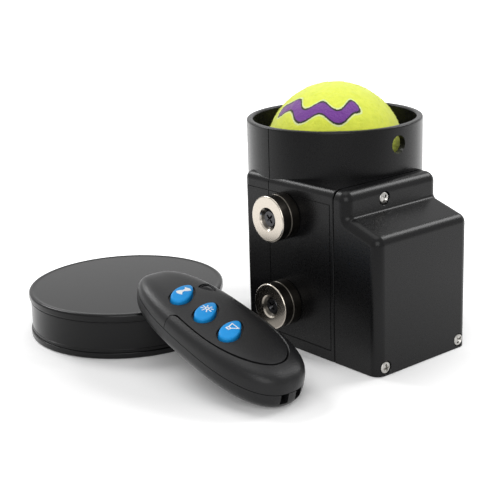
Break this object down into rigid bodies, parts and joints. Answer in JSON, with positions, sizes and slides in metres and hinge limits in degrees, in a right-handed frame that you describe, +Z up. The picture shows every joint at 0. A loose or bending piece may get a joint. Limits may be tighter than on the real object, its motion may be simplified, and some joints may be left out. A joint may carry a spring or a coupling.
{
  "type": "dog ball dropper",
  "caption": "Remote-controlled ball dropper for dog training: ball tube with geared release flap, drive cover, side magnets, felt ball, push-on lid and button remote.",
  "frame": {"origin": "on the ball tube's axis, on the plane of the tube's bottom face (the table)", "axes": "+Z up along the tube; the drive cover faces -Y; the mounting magnets face -X"},
  "size_m": [0.1617, 0.1763, 0.1132],
  "materials": {
    "black_plastic": "satin moulded",
    "remote_plastic": "fine matt texture",
    "inner_plastic": "matt",
    "seal_rubber": "matt",
    "nickel": "bright nickel plate",
    "screw_steel": "zinc plated",
    "shaft_steel": "ground",
    "brass": "turned",
    "gear_plastic": "natural",
    "gearbox_metal": "stamped",
    "motor_metal": "plated",
    "board": "solder mask",
    "capacitor_sleeve": "shrink sleeve",
    "cell_can": "printed can",
    "felt": "napped felt",
    "core_rubber": "matt",
    "button_blue": "smooth",
    "lens": "polished"
  },
  "bodies": {
    "housing": {"front_shell": "black_plastic", "rear_shell": "black_plastic", "motor_cover": "black_plastic", "cover_seal": "seal_rubber", "cover_screws": "screw_steel", "face_magnets": "nickel", "base_magnets": "nickel", "magnet_screws": "screw_steel", "magnet_inserts": "brass", "shaft_bushes": "brass", "gearbox_case": "gearbox_metal", "motor_can": "motor_metal", "motor_bracket": "inner_plastic", "bracket_screws": "screw_steel", "circuit_board": "board", "board_screws": "screw_steel", "receiver_module": "motor_metal", "buzzer": "inner_plastic", "capacitor": "capacitor_sleeve", "aerial": "brass", "cell_tray": "inner_plastic", "tray_screws": "screw_steel", "cells": "cell_can", "cell_contacts": "motor_metal"},
    "flap": {"release_flap": "inner_plastic", "flap_shaft": "shaft_steel", "flap_gear": "gear_plastic"},
    "pinion": {"pinion_gear": "gear_plastic", "motor_shaft": "shaft_steel"},
    "ball": {"ball_felt": "felt", "ball_rubber": "core_rubber"},
    "lid": {"lid": "black_plastic"},
    "remote": {"remote_top_case": "remote_plastic", "remote_bumper": "remote_plastic", "remote_bottom_case": "remote_plastic", "remote_lens": "lens", "remote_board": "board", "key_switches": "motor_metal", "coin_cell": "motor_metal", "coin_holder": "inner_plastic", "remote_screws": "screw_steel"},
    "drop_button": {"drop_button": "button_blue"},
    "light_button": {"light_button": "button_blue"},
    "sound_button": {"sound_button": "button_blue"}
  },
  "joints": [
    {"name": "flap_hinge", "type": "hinge", "parent": "housing", "child": "flap", "pos_m": [0, -0.037, 0.0479], "axis": [-1, 0, 0], "range_deg": [0, 88]},
    {"name": "pinion_spin", "type": "hinge", "parent": "housing", "child": "pinion", "pos_m": [0, -0.052, 0.0479], "axis": [-1, 0, 0], "range_deg": [-133, 1]},
    {"name": "ball_drop", "type": "slide", "parent": "housing", "child": "ball", "axis": [0, 0, -1], "range_m": [0, 0.044]},
    {"name": "lid_slide", "type": "slide", "parent": "housing", "child": "lid", "axis": [0, 1, 0], "range_m": [0, 0.1]},
    {"name": "remote_lift", "type": "slide", "parent": "housing", "child": "remote", "axis": [0, 0, 1], "range_m": [0, 0.12]},
    {"name": "drop_press", "type": "slide", "parent": "remote", "child": "drop_button", "axis": [0, 0.2493, -0.9684], "range_m": [0, 0.0012], "stiffness_N_per_m": 400},
    {"name": "light_press", "type": "slide", "parent": "remote", "child": "light_button", "axis": [0, 0.2493, -0.9684], "range_m": [0, 0.0012], "stiffness_N_per_m": 400},
    {"name": "sound_press", "type": "slide", "parent": "remote", "child": "sound_button", "axis": [0, 0.2493, -0.9684], "range_m": [0, 0.0012], "stiffness_N_per_m": 400}
  ],
  "couplings": [
    {"joint": "flap_hinge", "follows": "ball_drop", "rad_per_m": 34.9},
    {"joint": "pinion_spin", "follows": "ball_drop", "rad_per_m": -52.35}
  ]
}
